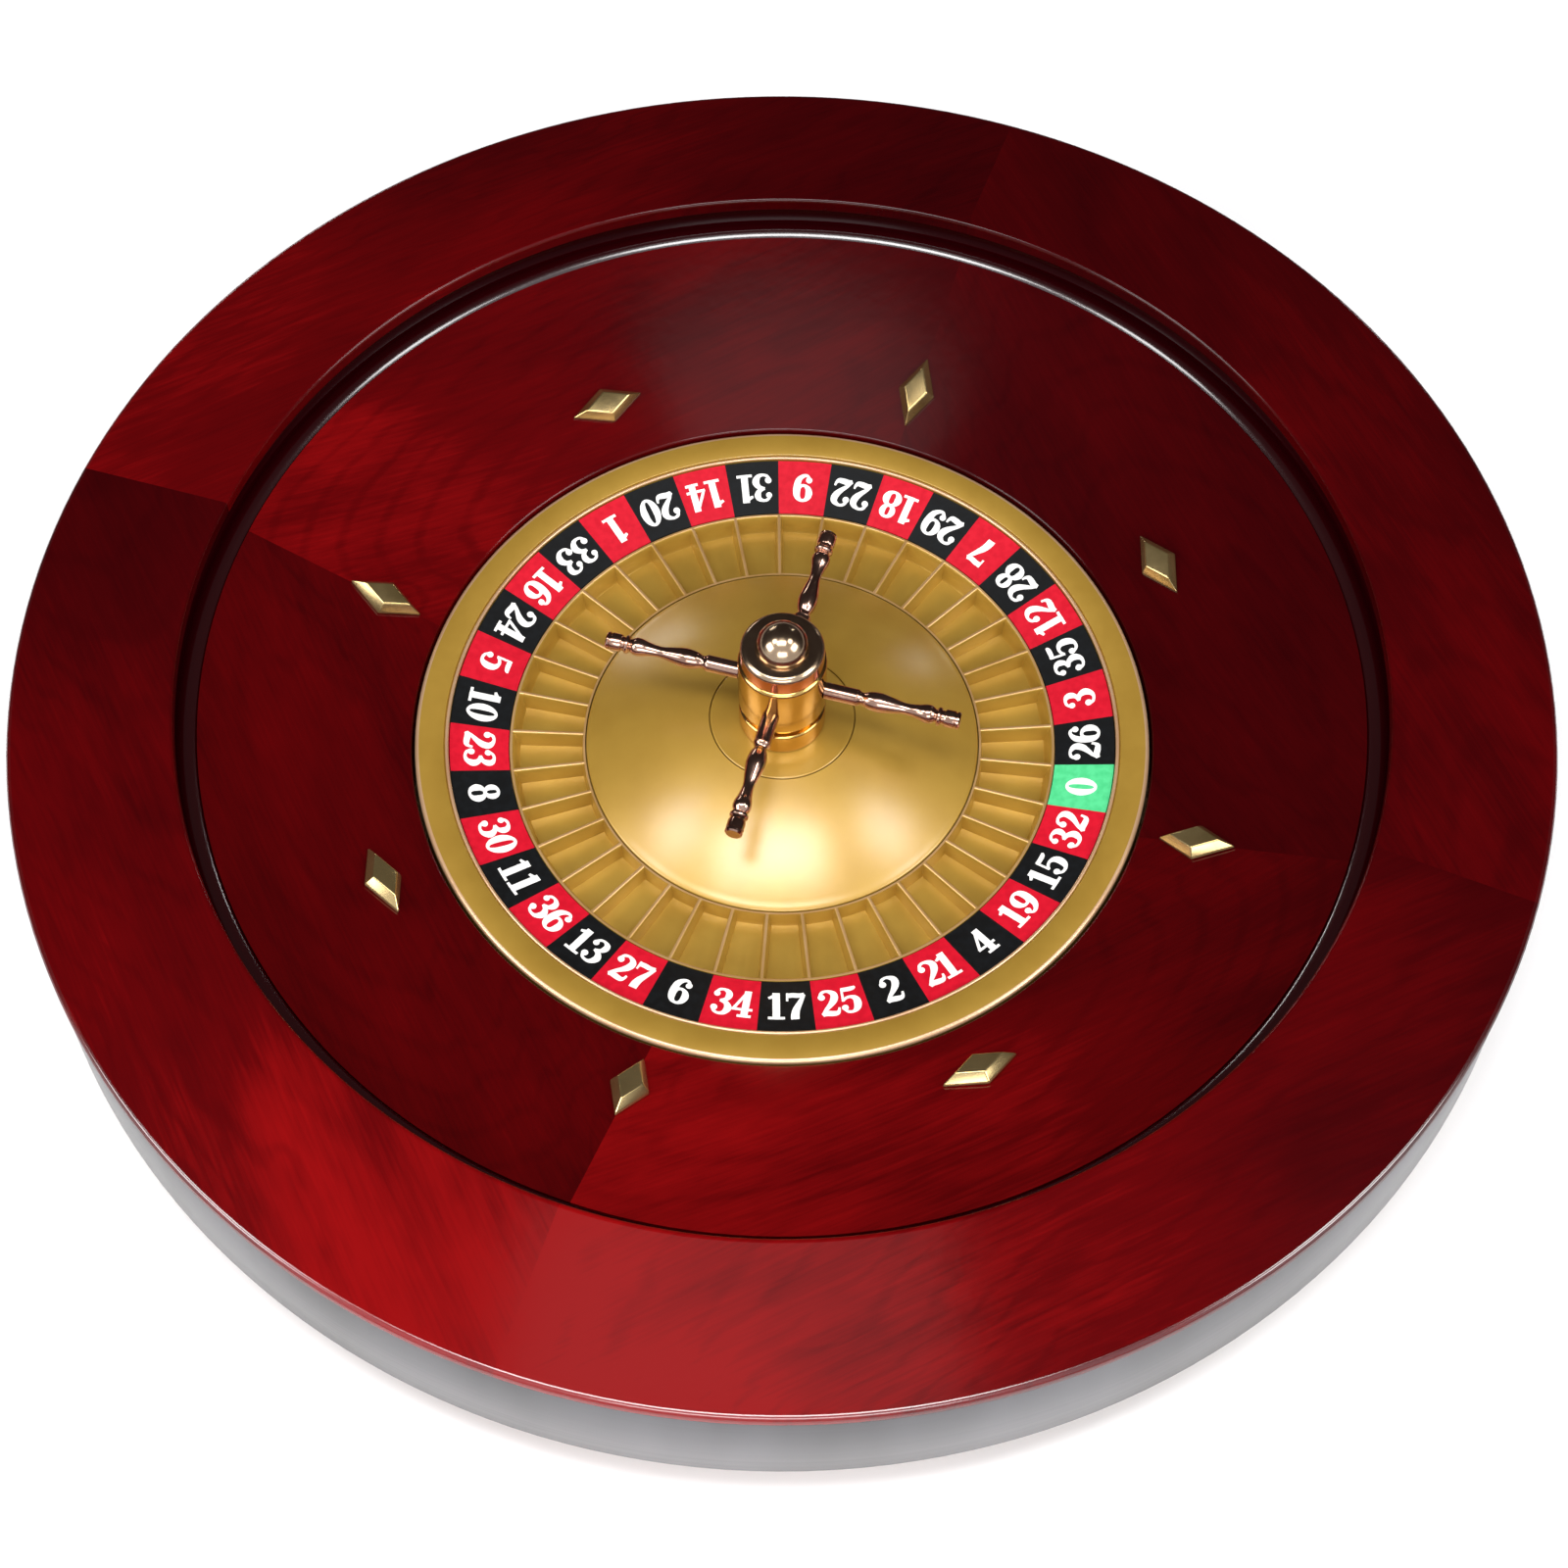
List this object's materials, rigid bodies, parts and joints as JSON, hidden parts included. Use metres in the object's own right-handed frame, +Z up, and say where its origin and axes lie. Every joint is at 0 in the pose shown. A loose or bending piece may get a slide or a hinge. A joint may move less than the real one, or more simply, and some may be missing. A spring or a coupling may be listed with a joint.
{
  "type": "roulette wheel",
  "caption": "Home-size roulette wheel: lacquered wooden bowl with a ball track and brass deflectors, and a numbered rotor with pockets, dome and armed turret spinning on ball bearings.",
  "frame": {"origin": "on the table, under the rotor's axis, at the bottom centre of the whole wheel", "axes": "+Z up along the rotor's axis; -Y towards the player"},
  "size_m": [0.5, 0.5, 0.0963],
  "materials": {
    "lacquered_wood": "clear gloss lacquer over dark red figured veneer",
    "plain_board": "plain fibre board, sealed",
    "brushed_band": "fine satin brushing along the strip",
    "turned_aluminium": "turned, fine rings",
    "bearing_steel": "ground",
    "cage_brass": "pressed, bright",
    "zinc_steel": "zinc plated",
    "polished_brass": "turned and polished bright",
    "satin_brass": "spun, satin gold",
    "printed_enamel": "red, black and green fields with white numbers, satin gloss",
    "rubber_foot": "moulded, matt"
  },
  "bodies": {
    "bowl": {"apron": "lacquered_wood", "apron_support_ring": "plain_board", "ball_track_ring": "lacquered_wood", "base_board": "plain_board", "bearing_housing": "turned_aluminium", "bowl_wall": "lacquered_wood", "deflector_1": "polished_brass", "deflector_2": "polished_brass", "deflector_3": "polished_brass", "deflector_4": "polished_brass", "deflector_5": "polished_brass", "deflector_6": "polished_brass", "deflector_7": "polished_brass", "deflector_8": "polished_brass", "foot_1": "rubber_foot", "foot_2": "rubber_foot", "foot_3": "rubber_foot", "foot_4": "rubber_foot", "foot_screw_1": "zinc_steel", "foot_screw_2": "zinc_steel", "foot_screw_3": "zinc_steel", "foot_screw_4": "zinc_steel", "housing_screw_1": "zinc_steel", "housing_screw_2": "zinc_steel", "housing_screw_3": "zinc_steel", "housing_screw_4": "zinc_steel", "lower_bearing_outer_ring": "bearing_steel", "rim_ring": "lacquered_wood", "side_band": "brushed_band", "upper_bearing_outer_ring": "bearing_steel"},
    "rotor": {"arm_1": "polished_brass", "arm_2": "polished_brass", "arm_3": "polished_brass", "arm_4": "polished_brass", "bearing_spacer": "zinc_steel", "circlip": "zinc_steel", "cone": "satin_brass", "cone_plate": "satin_brass", "lower_bearing_inner_ring": "bearing_steel", "number_ring": "printed_enamel", "number_ring_core": "plain_board", "pocket_ring": "satin_brass", "rotor_pan": "turned_aluminium", "rotor_rim": "satin_brass", "rotor_screw_1": "zinc_steel", "rotor_screw_2": "zinc_steel", "rotor_screw_3": "zinc_steel", "rotor_screw_4": "zinc_steel", "spindle": "zinc_steel", "turret_base": "polished_brass", "turret_cap": "polished_brass", "turret_hub": "polished_brass", "turret_knob": "polished_brass", "upper_bearing_inner_ring": "bearing_steel"},
    "upper_cage": {"upper_bearing_cage": "cage_brass"},
    "lower_cage": {"lower_bearing_cage": "cage_brass"}
  },
  "joints": [
    {"name": "rotor_spin", "type": "hinge", "parent": "bowl", "child": "rotor", "pos_m": [0, 0, 0.03], "axis": [0, 0, 1], "continuous": true},
    {"name": "upper_cage_roll", "type": "hinge", "parent": "bowl", "child": "upper_cage", "pos_m": [0, 0, 0.0313], "axis": [0, 0, 1], "continuous": true},
    {"name": "lower_cage_roll", "type": "hinge", "parent": "bowl", "child": "lower_cage", "pos_m": [0, 0, 0.0173], "axis": [0, 0, 1], "continuous": true}
  ],
  "couplings": [
    {"joint": "upper_cage_roll", "follows": "rotor_spin", "ratio": 0.385},
    {"joint": "lower_cage_roll", "follows": "rotor_spin", "ratio": 0.385}
  ]
}
